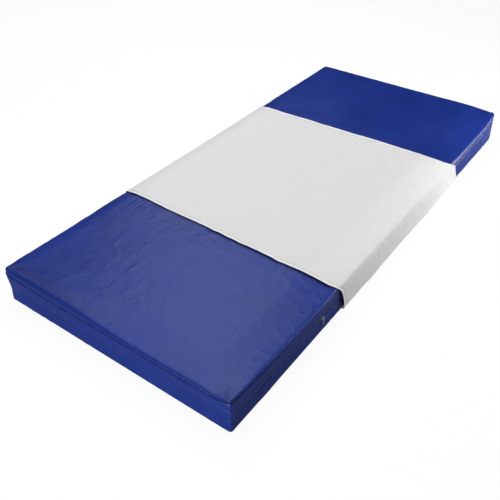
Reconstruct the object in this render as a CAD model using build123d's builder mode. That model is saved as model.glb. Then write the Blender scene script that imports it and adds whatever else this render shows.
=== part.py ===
from build123d import *

import os

# A one-piece foam mattress in a wipe-clean cover with a zip all the way round, and a cotton draw sheet
# stretched across its middle and tucked under both long sides. Millimetres, +Z up, X across the width,
# Y along the length. The origin is the centre of the underside, on the surface that the mattress lies on.

# Driving dimensions
overall_width = 900.0
overall_length = 2000.0
overall_height = 140.0

# Cover cloth
cover_wall = 1.0
corner_radius = 14.0
roll_radius = 13.0            # the top panel rolls over the edge before it meets the side border
seam_height = 106.0           # piped seam between the top panel and the side border
piping_radius = 2.5
piping_proud = 0.8
flap_thickness = 0.9
flap_low = 59.0
flap_high = 84.0
upper_border_low = 60.0
lower_border_high = 45.0
base_thickness = 2.2

# Draw sheet
sheet_thickness = 0.8
sheet_width = 900.0           # along the mattress
sheet_tuck = 310.0            # under the mattress, in from each long side
hem_width = 10.0
hem_thickness = 1.3
sheet_clearance = 0.4
tuck_pocket_depth = 1.5       # the base cloth lifts over the tucked flaps by this much

# Foam core
foam_inset = 4.9              # from the outside of the cover to the foam at the sides
foam_layer_split = 80.0
foam_top_gap = 0.4
foam_edge_flat = 1.0          # between the rounded top edge and the rounded corner

# Zip
chain_height = 52.0
chain_gap = 1.2               # between the two rows, so that the slider's post passes
row_height = 2.6
row_thickness = 2.6
tape_thickness = 0.6
tape_sewn = 10.0              # of each tape behind the border it is sewn to
stop_length = 4.0
stop_thickness = 0.8

# Slider and pull, on the right side near the foot end
slider_y = -531.0
slider_length = 14.0
plate_thickness = 1.3
plate_corner_radius = 2.0
slider_clearance = 0.3
flange_thickness = 1.2
flange_depth = 0.9
flange_length = 10.0
post_length = 4.0
post_thickness = 0.6
post_setback = 1.0            # from the slider's head end
bail_radius = 0.8
bail_span = 8.4               # between the insides of its two legs
bail_offset = 2.9             # from the outer plate to the middle of the bar
eye_radius = 2.0
eye_bore_radius = 1.1
eye_length = 6.0
tab_width = 7.0
tab_thickness = 1.2
tab_reach = 25.0              # from the bar to the tab's tip

# Planes that the pieces share, worked out from the outside in
hem_half = overall_width / 2
sheet_half = hem_half - (hem_thickness - sheet_thickness)
sheet_top = overall_height - (hem_thickness - sheet_thickness)
flap_half_x = sheet_half - sheet_thickness - sheet_clearance
flap_half_y = overall_length / 2
cover_half_x = flap_half_x - flap_thickness
cover_half_y = flap_half_y - flap_thickness
cover_top = sheet_top - sheet_thickness - sheet_clearance
flap_edge = hem_half - sheet_tuck                # where each tucked flap of the sheet ends
row_middle = cover_half_x - cover_wall - tape_thickness / 2


def rounded_block(inset, low, high, top_radius=0.0):
    """A rounded rectangular block, as far inside the cover's outline as inset says."""
    with BuildPart() as block:
        with BuildSketch(Plane.XY.offset(low)):
            RectangleRounded(2 * (cover_half_x - inset), 2 * (cover_half_y - inset), corner_radius - inset)
        extrude(amount=high - low)
        if top_radius:
            fillet(block.faces().sort_by(Axis.Z)[-1].edges(), top_radius)
    return block.part


def band(outer_inset, thickness, low, high):
    """A closed band round the mattress, as far inside the cover's outline as outer_inset says."""
    with BuildPart() as ring:
        add(rounded_block(outer_inset, low, high))
        add(rounded_block(outer_inset + thickness, low, high), mode=Mode.SUBTRACT)
    return ring.part


def hand_in(piece, label):
    piece.label = label
    export_step(piece, f"parts/{label}.step")


os.makedirs("parts", exist_ok=True)

# Foam core, in two layers that lie on each other
with BuildPart() as foam_base_layer:
    add(rounded_block(foam_inset, base_thickness, foam_layer_split))
hand_in(foam_base_layer.part, "foam_base_layer")

with BuildPart() as foam_comfort_layer:
    foam_top = cover_top - cover_wall - foam_top_gap
    add(rounded_block(foam_inset, foam_layer_split, foam_top, corner_radius - foam_inset - foam_edge_flat))
hand_in(foam_comfort_layer.part, "foam_comfort_layer")

# Top panel of the cover: an upturned tray whose edge rolls down to the piped seam
with BuildPart() as cover_top_panel:
    panel_low = seam_height + piping_radius
    add(rounded_block(0, panel_low, cover_top, roll_radius))
    inside = rounded_block(cover_wall, panel_low, cover_top - cover_wall, roll_radius - cover_wall)
    add(inside, mode=Mode.SUBTRACT)
hand_in(cover_top_panel.part, "cover_top_panel")

# Piping: a round cord sewn into the seam, one loop
with BuildSketch(Plane.XY.offset(seam_height)) as piping_outline:
    piping_inset = piping_radius - piping_proud
    piping_width = 2 * (cover_half_x - piping_inset)
    piping_length = 2 * (cover_half_y - piping_inset)
    RectangleRounded(piping_width, piping_length, corner_radius - piping_inset)
piping_route = piping_outline.sketch.faces()[0].outer_wire()

with BuildPart() as top_seam_piping:
    with BuildSketch(Plane(origin=piping_route @ 0, z_dir=piping_route % 0)):
        Circle(piping_radius)
    sweep(path=piping_route)
hand_in(top_seam_piping.part, "top_seam_piping")


# Side borders: a band above the zip and one below it, each in four panels. The end panels go round the
# corners, and the long side panels run between them.
def border_panels(name, low, high):
    end_line = cover_half_y - corner_radius
    middle = (low + high) / 2
    tall = 2 * (high - low)
    for side, direction in (("right", 1), ("left", -1)):
        with BuildPart() as side_panel:
            add(band(0, cover_wall, low, high))
            with Locations((direction * cover_half_x, 0, middle)):
                Box(cover_half_x, 2 * end_line, tall, mode=Mode.INTERSECT)
        hand_in(side_panel.part, f"{name}_{side}")
    for end, direction in (("foot", -1), ("head", 1)):
        with BuildPart() as end_panel:
            add(band(0, cover_wall, low, high))
            with Locations((0, direction * (end_line + corner_radius), middle)):
                Box(3 * cover_half_x, 2 * corner_radius, tall, mode=Mode.INTERSECT)
        hand_in(end_panel.part, f"{name}_{end}")


border_panels("upper_border", upper_border_low, seam_height - piping_radius)
border_panels("lower_border", base_thickness, lower_border_high)

# Base panel: flat on the floor, lifted where the sheet's flaps are tucked beneath it
with BuildPart() as cover_base_panel:
    add(rounded_block(0, 0, base_thickness))
    pocket_inner = flap_edge - sheet_clearance
    pocket_width = hem_half - pocket_inner
    for direction in (1, -1):
        with Locations((direction * (pocket_inner + pocket_width / 2), 0, tuck_pocket_depth / 2)):
            Box(pocket_width, sheet_width + 2 * sheet_clearance, tuck_pocket_depth, mode=Mode.SUBTRACT)
hand_in(cover_base_panel.part, "cover_base_panel")

# Zip flap: a band sewn to the outside of the upper border, which hangs over the top of the zip
with BuildPart() as zip_flap:
    add(band(-flap_thickness, flap_thickness, flap_low, flap_high))
hand_in(zip_flap.part, "zip_flap")

# Zip: a tape behind each border and a row of teeth on each tape's edge, each in one loop
upper_row_low = chain_height + chain_gap / 2
lower_row_high = chain_height - chain_gap / 2
upper_row_high = upper_row_low + row_height
lower_row_low = lower_row_high - row_height
row_inset = cover_half_x - row_middle - row_thickness / 2
zip_bands = (
    ("zip_upper_tape", cover_wall, tape_thickness, upper_row_high, upper_border_low + tape_sewn),
    ("zip_lower_tape", cover_wall, tape_thickness, lower_border_high - tape_sewn, lower_row_low),
    ("zip_upper_teeth", row_inset, row_thickness, upper_row_low, upper_row_high),
    ("zip_lower_teeth", row_inset, row_thickness, lower_row_low, lower_row_high),
)
for name, inset, thickness, low, high in zip_bands:
    with BuildPart() as zip_band:
        add(band(inset, thickness, low, high))
    hand_in(zip_band.part, name)

# End stops: a clip on the face of each row, just past the parked slider
with BuildPart() as zip_end_stops:
    row_face = row_middle + row_thickness / 2
    stop_y = slider_y + slider_length / 2 + stop_length
    for low in (lower_row_low, upper_row_low):
        with Locations((row_face + stop_thickness / 2, stop_y, low + row_height / 2)):
            Box(stop_thickness, stop_length, row_height)
hand_in(zip_end_stops.part, "zip_end_stops")

# Slider: two plates with lips round the rows, a post between the rows, and a bail on the outer plate
outer_plate_x = row_face + slider_clearance
inner_plate_x = row_middle - row_thickness / 2 - slider_clearance - plate_thickness
flange_offset = chain_gap / 2 + row_height + slider_clearance + flange_thickness / 2
slider_width = 2 * flange_offset + flange_thickness
bail_x = outer_plate_x + plate_thickness + bail_offset
with BuildPart() as zip_slider_body:
    for plate_x in (inner_plate_x, outer_plate_x):
        with BuildSketch(Plane.YZ.offset(plate_x)):
            with Locations((slider_y, chain_height)):
                RectangleRounded(slider_length, slider_width, plate_corner_radius)
        extrude(amount=plate_thickness)
    for lip_x in (inner_plate_x + plate_thickness, outer_plate_x - flange_depth):
        for side in (-1, 1):
            with Locations((lip_x + flange_depth / 2, slider_y, chain_height + side * flange_offset)):
                Box(flange_depth, flange_length, flange_thickness)
    post_low_x = inner_plate_x + plate_thickness
    post_width = outer_plate_x - post_low_x
    post_y = slider_y + (slider_length - post_length) / 2 - post_setback
    with Locations((post_low_x + post_width / 2, post_y, chain_height)):
        Box(post_width, post_length, post_thickness)
    leg_thickness = 2 * bail_radius
    for side in (-1, 1):
        leg_y = slider_y + side * (bail_span + leg_thickness) / 2
        with Locations((bail_x - bail_offset / 2, leg_y, chain_height)):
            Box(bail_offset, leg_thickness, leg_thickness)
    with Locations(Location((bail_x, slider_y, chain_height), (90, 0, 0))):
        Cylinder(bail_radius, bail_span + 2 * leg_thickness)
hand_in(zip_slider_body.part, "zip_slider_body")

# Pull: an eye round the bail's bar and a flat tab that hangs from it
with BuildPart() as zip_pull_tab:
    with Locations(Location((bail_x, slider_y, chain_height), (90, 0, 0))):
        Cylinder(eye_radius, eye_length)
    tab_top = chain_height - (eye_radius + eye_bore_radius) / 2
    tab_tip = chain_height - tab_reach
    with BuildSketch(Plane.YZ.offset(bail_x - tab_thickness / 2)):
        with BuildLine():
            Polyline(
                (slider_y - eye_length / 2, tab_top),
                (slider_y - tab_width / 2, tab_tip + tab_width / 2),
            )
            RadiusArc(
                (slider_y - tab_width / 2, tab_tip + tab_width / 2),
                (slider_y + tab_width / 2, tab_tip + tab_width / 2),
                -tab_width / 2,
            )
            Polyline(
                (slider_y + tab_width / 2, tab_tip + tab_width / 2),
                (slider_y + eye_length / 2, tab_top),
                (slider_y - eye_length / 2, tab_top),
            )
        make_face()
    extrude(amount=tab_thickness)
    with Locations(Location((bail_x, slider_y, chain_height), (90, 0, 0))):
        Cylinder(eye_bore_radius, 2 * eye_length, mode=Mode.SUBTRACT)
hand_in(zip_pull_tab.part, "zip_pull_tab")


# Draw sheet: a wrap over the top, down both sides and in under the mattress
def arch(half, low, high, radius):
    """A rectangle standing on low, with its two top corners rounded."""
    with BuildSketch() as face:
        with Locations((0, (low + high) / 2)):
            Rectangle(2 * half, high - low)
        fillet(face.vertices().group_by(Axis.Y)[-1], radius)
    return face.sketch


def wrap(thickness, y_low, y_high):
    """A strip of the wrap, whose inside is the same for every thickness."""
    inner_radius = roll_radius + sheet_clearance
    inner_half = sheet_half - sheet_thickness
    inner_top = sheet_top - sheet_thickness
    outside = arch(inner_half + thickness, 0, inner_top + thickness, inner_radius + thickness)
    inside = arch(inner_half, thickness, inner_top, inner_radius)
    with BuildPart() as strip:
        with BuildSketch(Plane(origin=(0, y_high, 0), x_dir=(1, 0, 0), z_dir=(0, -1, 0))):
            add(outside)
            add(inside, mode=Mode.SUBTRACT)
            with Locations((0, thickness)):
                Rectangle(2 * (flap_edge + hem_width), 3 * thickness, mode=Mode.SUBTRACT)
        extrude(amount=y_high - y_low)
    return strip.part


hem_line = sheet_width / 2 - hem_width
sheet_strips = (
    ("draw_sheet", sheet_thickness, -hem_line, hem_line),
    ("sheet_near_hem", hem_thickness, -sheet_width / 2, -hem_line),
    ("sheet_far_hem", hem_thickness, hem_line, sheet_width / 2),
)
for name, thickness, y_low, y_high in sheet_strips:
    with BuildPart() as sheet_strip:
        add(wrap(thickness, y_low, y_high))
    hand_in(sheet_strip.part, name)

# End hems: where the tucked flaps of the sheet stop, under the mattress
for side, direction in (("right", 1), ("left", -1)):
    with BuildPart() as end_hem:
        with Locations((direction * (flap_edge + hem_width / 2), 0, hem_thickness / 2)):
            Box(hem_width, sheet_width, hem_thickness)
    hand_in(end_hem.part, f"sheet_{side}_end_hem")
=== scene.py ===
import math

import bpy
import numpy as np
from mathutils import Euler, Matrix, Vector


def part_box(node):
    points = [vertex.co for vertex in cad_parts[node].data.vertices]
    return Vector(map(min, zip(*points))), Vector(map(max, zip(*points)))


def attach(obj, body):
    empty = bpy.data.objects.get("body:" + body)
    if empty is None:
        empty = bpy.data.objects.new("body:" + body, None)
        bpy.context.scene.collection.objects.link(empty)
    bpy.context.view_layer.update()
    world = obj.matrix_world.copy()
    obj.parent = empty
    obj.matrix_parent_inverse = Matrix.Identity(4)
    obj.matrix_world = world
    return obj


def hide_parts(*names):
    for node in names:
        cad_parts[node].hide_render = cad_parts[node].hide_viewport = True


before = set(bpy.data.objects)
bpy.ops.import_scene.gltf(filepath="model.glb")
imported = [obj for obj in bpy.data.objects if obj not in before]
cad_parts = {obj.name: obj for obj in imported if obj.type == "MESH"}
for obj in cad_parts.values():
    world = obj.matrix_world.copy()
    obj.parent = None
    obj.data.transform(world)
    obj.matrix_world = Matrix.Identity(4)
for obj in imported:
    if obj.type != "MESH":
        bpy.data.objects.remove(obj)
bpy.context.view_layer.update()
print("frame loaded")

# Sizes taken from the frame, in metres
coverLow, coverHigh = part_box("cover_top_panel")
halfWidth, halfLength, coverTop = coverHigh
pipingLow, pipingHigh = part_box("top_seam_piping")
flapLow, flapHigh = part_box("zip_flap")
upperLow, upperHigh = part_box("upper_border_right")
lowerLow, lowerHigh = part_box("lower_border_right")
baseLow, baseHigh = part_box("cover_base_panel")
comfortLow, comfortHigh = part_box("foam_comfort_layer")
firmLow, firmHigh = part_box("foam_base_layer")
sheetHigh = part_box("draw_sheet")[1]
nearHemLow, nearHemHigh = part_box("sheet_near_hem")
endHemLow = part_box("sheet_right_end_hem")[0]
sliderLow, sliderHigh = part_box("zip_slider_body")
seamHeight = (pipingLow.z + pipingHigh.z) / 2
cornerRadius = halfLength - upperHigh.y
sheetHalf = nearHemHigh.y * -1 + (nearHemHigh.y - nearHemLow.y)
hemWidth = nearHemHigh.y - nearHemLow.y
flatSheet = (2 * sheetHalf, 1.8)

# How the mattress lies: how the tucked sheet, the corner seams and its own weight change the plain block.
# A pair named From is where a blend starts and how far it takes.
lie = {
    "rightFrom": (-0.1, 0.2),
    "farFrom": (-0.1, 0.2),
    "crispFrom": (-0.22, 0.30),      # along the near end, where its edge turns from soft to crisp
    "seamLift": 0.026,               # how much higher the seam runs at a corner
    "seamRiseFar": 0.006,            # and along the right side beyond the sheet
    "seamRiseFrom": (0.35, 0.12),
    "seamWander": (0.002, 0.19),
    "seamDip": (0.006, 0.05),        # how far it drops where the near end is soft
    "fallRight": 0.023,              # how far the top slopes down to each edge
    "fallSheet": 0.022,
    "fallLeft": 0.006,
    "fallNear": (0.013, 0.020),      # at the left and at the right of that end
    "fallFar": 0.003,
    "fallCorner": 0.005,
    "fallMost": 0.004,               # where two slopes meet, beyond the deeper one
    "fallWidth": 0.115,
    "fallWidthLeft": 0.050,
    "wander": (0.0012, 0.45),
    "farTipDraw": (0.006, 0.016),    # how far the far right corner leans in at the top
    "farTipReach": 0.05,
    "farTipFrom": (0.04, 0.09),
    "crisp": 0.0075,                 # least height of the rolled edge above the seam
    "bulge": 0.004,                  # how far the sides stand out at the seam
    "bulgeSheet": 0.001,
    "bulgeHeight": 0.045,
    "footing": (0.002, 0.035),       # and at the floor
    "sideDepth": 0.06,               # how far in from a side the bulge is felt
    "sharpness": 0.55,               # how far a rounded corner is pulled out to a sharp one
}
nearRight, nearLeft, farRight, farLeft = (1, -1), (-1, -1), (1, 1), (-1, 1)
cornerReach = {
    nearRight: (0.045, 0.130),
    nearLeft: (0.090, 0.100),
    farRight: (0.060, 0.045),
    farLeft: (0.060, 0.060),
}
cornerShare = {nearRight: 1.0, nearLeft: 0.30, farRight: 0.85, farLeft: 0.7}
cornerHold = {nearRight: 1.0, nearLeft: 1.0, farRight: 1.0, farLeft: 0.8}  # how far the top stays up there
cornerRise = {nearRight: 0.0, nearLeft: 0.0045, farRight: 0.0, farLeft: 0.0}
holdReach = 1.7


def eased(t):
    t = np.clip(t, 0.0, 1.0)
    return t * t * (3 - 2 * t)


def risen(value, start, width):  # from 0 at the start to 1 after that width
    return eased((value - start) / width)


def faded(value, end, width):  # from 1 to 0, over the width before the end
    return eased((end - value) / width)


def waves(points, size, seed):  # smooth noise from -1 to 1 with bumps of about that size
    scaled = np.asarray(points, dtype=float) / size
    cell = np.floor(scaled).astype(np.int64)
    part = scaled - cell
    part = part * part * part * (part * (part * 6 - 15) + 10)
    total = np.zeros(len(scaled))
    for corner in range(8):
        step = np.array([corner & 1, corner >> 1 & 1, corner >> 2 & 1])
        at = cell + step
        key = (at[:, 0] * 73856093) ^ (at[:, 1] * 19349663) ^ (at[:, 2] * 83492791) ^ (seed * 40503)
        key = ((key ^ (key >> 13)) * 1274126177) & 0x7FFFFFFF
        key = (key ^ (key >> 15)) & 0xFFFF
        weight = np.prod(np.where(step, part, 1 - part), axis=1)
        total += weight * (key / 32767.5 - 1)
    return total


def cornerPull(x, y, shares, wider=1.0):  # 1 at a corner's tip, fading along both edges
    total = np.zeros_like(x)
    for corner, (reachX, reachY) in cornerReach.items():
        away = np.hypot((x - corner[0] * halfWidth) / reachX, (y - corner[1] * halfLength) / reachY) / wider
        total += shares[corner] * np.exp(-(away ** 1.2))
    return total


def slope(edge, width, power=1.5):  # from 1 at the edge to 0 at that width
    return np.clip(1 - edge / width, 0, 1) ** power


def underSheet(y, soft=0.10):
    return faded(np.abs(y), sheetHalf + soft, soft)


def edgeGaps(x, y):  # how far a place is from the nearer side and from the nearer end
    return np.maximum(halfWidth - np.abs(x), 0), np.maximum(halfLength - np.abs(y), 0)


def spread(*parts):  # points from their coordinates
    return np.stack(parts, axis=1)


def settle(points):  # moves points of the plain block to where the real cloth and foam lie
    p = np.array(points, dtype=float)
    x, y, z = p.T.copy()
    edgeX, edgeY = edgeGaps(x, y)
    plan = spread(x, y, np.zeros_like(x))
    tip, hold = cornerPull(x, y, cornerShare), np.minimum(cornerPull(x, y, cornerHold, holdReach), 1)
    covered = underSheet(y)
    right, far = risen(x, *lie["rightFrom"]), risen(y, *lie["farFrom"])
    crispEnd = risen(x, *lie["crispFrom"]) * (1 - far)

    # The top's slopes
    fallX = lie["fallLeft"] + (lie["fallRight"] - lie["fallLeft"]) * right
    fallX = fallX + (lie["fallSheet"] - lie["fallRight"]) * right * covered
    fallY = lie["fallNear"][0] + (lie["fallNear"][1] - lie["fallNear"][0]) * crispEnd
    fallY = fallY + (lie["fallFar"] - fallY) * far
    widthX = lie["fallWidthLeft"] + (lie["fallWidth"] - lie["fallWidthLeft"]) * right
    widthY = lie["fallWidthLeft"] + (lie["fallWidth"] - lie["fallWidthLeft"]) * crispEnd
    fall = fallX * slope(edgeX, widthX) + fallY * slope(edgeY, widthY)
    fall = np.minimum(fall, np.maximum(fallX, fallY) + lie["fallMost"])
    fall = fall * (1 - hold) + lie["fallCorner"] * hold
    wander, size = lie["wander"]
    top = coverTop - fall + wander * waves(plan, size, 6) + cornerPull(x, y, cornerRise)

    # The seam's height, and the heights between it and the top
    seam = seamHeight + lie["seamLift"] * tip + lie["seamRiseFar"] * right * risen(y, *lie["seamRiseFrom"])
    wander, size = lie["seamWander"]
    seam += wander * waves(plan, size, 5) * (1 - tip)
    dip, size = lie["seamDip"]
    seam -= dip * (1 - crispEnd) * (1 - far) * eased(1 - edgeY / size) * (1 - tip)
    seam = np.minimum(seam, top - lie["crisp"])
    rise = (z - seamHeight) / (coverTop - seamHeight)
    share = np.clip((z - flapHigh.z) / (seamHeight - flapHigh.z), 0, 1) ** 2
    p[:, 2] = np.where(z > seamHeight, seam + rise * (top - seam), z + share * (seam - seamHeight))

    # The sides
    swell = lie["bulge"] + (lie["bulgeSheet"] - lie["bulge"]) * covered
    out = swell * risen(z, sliderHigh.z, lie["bulgeHeight"]) * (1 - 0.5 * rise.clip(0, 1))
    out += lie["footing"][0] * faded(z, sliderLow.z, lie["footing"][1])
    out *= 1 - 0.6 * np.minimum(tip, 1)
    p[:, 0] += np.sign(x) * out * eased(1 - edgeX / lie["sideDepth"])
    p[:, 1] += np.sign(y) * out * eased(1 - edgeY / lie["sideDepth"])

    # The corners
    overX, overY = cornerRadius - edgeX, cornerRadius - edgeY
    inCorner = (overX > 0) & (overY > 0)
    a, b = np.where(inCorner, overX, 1.0), np.where(inCorner, overY, 1.0)
    square = np.hypot(a, b) / (a ** 6 + b ** 6) ** (1 / 6) - 1
    stretch = np.where(inCorner, lie["sharpness"] * square, 0)
    p[:, 0] += np.sign(x) * a * stretch
    p[:, 1] += np.sign(y) * b * stretch
    drawn = np.exp(-np.hypot(edgeX, edgeY) / lie["farTipReach"]) * (x > 0) * (y > 0)
    drawn *= risen(z, *lie["farTipFrom"])
    p[:, 0] -= lie["farTipDraw"][0] * drawn
    p[:, 1] -= lie["farTipDraw"][1] * drawn
    return p


def outline(spacing):  # columns round the block: centre of the corner circle, outward direction, distance
    ax, ay = halfWidth - cornerRadius, halfLength - cornerRadius
    corners = [(ax, ay, 0), (-ax, ay, 90), (-ax, -ay, 180), (ax, -ay, 270)]
    turns = 12
    centres, angles, parts = [], [], []
    for k, (cx, cy, start) in enumerate(corners):
        px, py, _ = corners[k - 1]
        count = max(2, round(math.hypot(cx - px, cy - py) / spacing))
        for i in range(count):
            t = i / count
            centres.append((px + (cx - px) * t, py + (cy - py) * t))
            angles.append(start)
            parts.append(k * 2)
        for i in range(turns):
            centres.append((cx, cy))
            angles.append(start + 90 * i / turns)
            parts.append(k * 2 + 1)
    centres, angles = np.array(centres), np.radians(angles)
    normals = np.stack([np.cos(angles), np.sin(angles)], axis=1)
    rim = centres + normals * cornerRadius
    step = np.linalg.norm(np.diff(rim, axis=0), axis=1)
    return {
        "centre": centres,
        "normal": normals,
        "distance": np.concatenate([[0], np.cumsum(step)]),
        "part": np.array(parts),
    }


def takeColumns(columns, chosen):
    return {key: value[chosen] for key, value in columns.items()}


def meshPiece(name, points, faces, uv=None, material=None):
    mesh = bpy.data.meshes.new(name)
    mesh.from_pydata([tuple(p) for p in points], [], faces)
    mesh.validate()
    if uv is not None:
        layer = mesh.uv_layers.new(name="cloth")
        at = np.zeros(len(mesh.loops), dtype=np.int32)
        mesh.loops.foreach_get("vertex_index", at)
        layer.data.foreach_set("uv", np.asarray(uv, dtype=np.float32)[at].ravel())
    mesh.shade_smooth()
    piece = bpy.data.objects.new(name, mesh)
    bpy.context.scene.collection.objects.link(piece)
    if material:
        mesh.materials.append(material)
    return piece


def gridFaces(rows, cols, first=0, flip=False):
    i, j = np.meshgrid(np.arange(rows - 1), np.arange(cols - 1), indexing="ij")
    a = (first + i * cols + j).ravel()
    quad = np.stack([a, a + 1, a + cols + 1, a + cols], axis=1)
    return (quad[:, ::-1] if flip else quad).tolist()


def bandPiece(name, profile, columns, closed, relief, material):
    # a strip along the outline; profile is a closed section of (inset, height) points, outer face first
    count, ring = len(columns["centre"]), len(profile)
    inset, height = np.array(profile).T
    reach = (cornerRadius - inset)[None, :, None]
    plan = columns["centre"][:, None, :] + columns["normal"][:, None, :] * reach
    heights = np.broadcast_to(height[None, :, None], (count, ring, 1))
    plain = np.concatenate([plan, heights], axis=2).reshape(-1, 3)
    points = settle(plain)
    distance = np.repeat(columns["distance"], ring)
    level = np.tile(height, count)
    out = np.repeat(columns["normal"], ring, axis=0)
    points[:, :2] += out * relief(distance, level, points)[:, None]
    faces = []
    for i in range(count if closed else count - 1):
        a, b = i * ring, (i + 1) % count * ring
        for j in range(ring):
            k = (j + 1) % ring
            faces.append((a + j, b + j, b + k, a + k))
    if not closed:
        end = (count - 1) * ring
        faces.append(tuple(range(ring)))
        faces.append(tuple(reversed(range(end, end + ring))))
    along = np.concatenate([[0], np.cumsum(np.hypot(np.diff(inset), np.diff(height)))])
    piece = meshPiece(name, points, faces, spread(distance, np.tile(along, count)), material)
    # painted shade in the crevice along the hems and in the seam at the upper rim
    rimShade = shade["borderRim"] * risen(level, upperHigh.z - shade["rimHeight"], shade["rimHeight"])
    paintPiece(piece, "paintedShade", np.maximum(hemShade(plain), rimShade))
    return piece


def evenStops(inner, spacing):
    return np.linspace(-inner, inner, max(2, round(2 * inner / spacing)) + 1)


def openStops(inner):  # finest at the hems, fine where the cover shows, coarse under the sheet
    hidden, clear = sheetHalf - panel["hemZone"][0], sheetHalf + panel["hemZone"][1]
    hems = np.linspace(hidden, clear, round((clear - hidden) / panel["finest"]) + 1)[1:]
    shown = np.linspace(clear, inner, round((inner - clear) / panel["fine"]) + 1)[1:]
    outside = np.concatenate([hems, shown])
    return np.concatenate([-outside[::-1], evenStops(hidden, panel["coarse"]), outside])


def trayGrid(half, plan, roll, top, low, across, along, rollSteps):
    # an upturned tray unfolded to a grid; across and along are the stops of its flat middle
    ax, ay = half[0] - plan, half[1] - plan
    flat = plan - roll
    total = flat + roll * math.pi / 2 + top - roll - low
    outer = total * np.arange(1, rollSteps + 1) / rollSteps
    across = np.concatenate([-ax - outer[::-1], across, ax + outer])
    along = np.concatenate([-ay - outer[::-1], along, ay + outer])
    p, q = np.meshgrid(across, along, indexing="ij")
    a, b = np.maximum(np.abs(p) - ax, 0), np.maximum(np.abs(q) - ay, 0)
    reach = np.maximum(a, b)
    angle = math.pi / 4 * np.divide(np.minimum(a, b), reach, out=np.zeros_like(a), where=reach > 0)
    angle = np.where(a >= b, angle, math.pi / 2 - angle)
    turn = np.clip((reach - flat) / roll, 0, math.pi / 2)
    outward = np.minimum(reach, flat) + roll * np.sin(turn)
    down = roll * (1 - np.cos(turn)) + np.maximum(reach - flat - roll * math.pi / 2, 0)
    x = np.clip(p, -ax, ax) + np.sign(p) * outward * np.cos(angle) * (a + b > 0)
    y = np.clip(q, -ay, ay) + np.sign(q) * outward * np.sin(angle) * (a + b > 0)
    points = np.stack([x, y, top - down], axis=2).reshape(-1, 3)
    return points, len(across), len(along), np.stack([p, q], axis=2).reshape(-1, 2)


def rimIndices(rows, cols):
    first = list(range(cols))
    right = [i * cols + cols - 1 for i in range(1, rows)]
    back = [(rows - 1) * cols + j for j in range(cols - 2, -1, -1)]
    left = [i * cols for i in range(rows - 2, 0, -1)]
    return first + right + back + left


def joinRims(firstRim, secondRim, flip=False):
    faces = []
    count = len(firstRim)
    for i in range(count):
        k = (i + 1) % count
        quad = (firstRim[i], secondRim[i], secondRim[k], firstRim[k])
        faces.append(tuple(reversed(quad)) if flip else quad)
    return faces


def outwardNormals(piece):
    bpy.context.view_layer.objects.active = piece
    piece.select_set(True)
    bpy.ops.object.mode_set(mode="EDIT")
    bpy.ops.mesh.select_all(action="SELECT")
    bpy.ops.mesh.normals_make_consistent(inside=False)
    bpy.ops.object.mode_set(mode="OBJECT")
    piece.select_set(False)


def pushOut(piece, relief):  # moves each vertex along its normal
    mesh = piece.data
    at, out = np.empty(3 * len(mesh.vertices)), np.empty(3 * len(mesh.vertices))
    mesh.vertices.foreach_get("co", at)
    mesh.vertex_normals.foreach_get("vector", out)
    at, out = at.reshape(-1, 3), out.reshape(-1, 3)
    mesh.vertices.foreach_set("co", (at + out * relief(at)[:, None]).ravel())
    mesh.update()


def plainMesh(piece):  # turns what the modifiers make into the piece's own mesh
    graph = bpy.context.evaluated_depsgraph_get()
    made = bpy.data.meshes.new_from_object(piece.evaluated_get(graph), depsgraph=graph)
    piece.modifiers.clear()
    piece.data = made
    made.shade_smooth()
    return piece


# Node helpers: an input that is a socket is linked, any other is set
def feed(tree, node, inputs):
    for key, value in inputs.items():
        if isinstance(value, bpy.types.NodeSocket):
            tree.links.new(value, node.inputs[key])
        else:
            node.inputs[key].default_value = value


def addNode(tree, kind, inputs=None, **settings):
    node = tree.nodes.new(kind)
    for key, value in settings.items():
        setattr(node, key, value)
    feed(tree, node, inputs or {})
    return node


def mathNode(tree, operation, *values):
    return addNode(tree, "ShaderNodeMath", dict(enumerate(values)), operation=operation).outputs[0]


# Shader groups that several materials share
def newGroup(name, inputs, outputs):  # an input without a value is a vector
    group = bpy.data.node_groups.new(name, "ShaderNodeTree")
    for label, value in inputs.items():
        kind = "NodeSocketVector" if value is None else "NodeSocketFloat"
        socket = group.interface.new_socket(label, in_out="INPUT", socket_type=kind)
        if value is not None:
            socket.default_value = value
    for label in outputs:
        group.interface.new_socket(label, in_out="OUTPUT", socket_type="NodeSocketFloat")
    return group, group.nodes.new("NodeGroupInput").outputs, group.nodes.new("NodeGroupOutput")


def coatCreaseGroup():  # soft crumples and finer creases of coated cloth
    group, given, result = newGroup(
        "coatCrease",
        {"Vector": None, "Crumple Scale": 9.0, "Crease Scale": 26.0, "Crease Share": 0.45},
        ["Height"],
    )
    drift = addNode(group, "ShaderNodeTexNoise", {"Vector": given["Vector"], "Detail": 2.0, "Scale": 3.0})
    away = addNode(
        group, "ShaderNodeVectorMath",
        {0: drift.outputs["Color"], 1: (0.10, 0.10, 0.10), 2: given["Vector"]}, operation="MULTIPLY_ADD",
    )
    heights = []
    for scale, detail, rough in (("Crumple Scale", 1.5, 0.35), ("Crease Scale", 2.0, 0.5)):
        ridged = addNode(group, "ShaderNodeTexNoise", noise_type="RIDGED_MULTIFRACTAL", normalize=True)
        vector = away.outputs[0]
        feed(group, ridged, {"Vector": vector, "Scale": given[scale], "Detail": detail, "Roughness": rough})
        heights.append(ridged.outputs[0])
    part = mathNode(group, "MULTIPLY", heights[1], given["Crease Share"])
    feed(group, result, {"Height": mathNode(group, "ADD", heights[0], part)})
    return group


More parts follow.
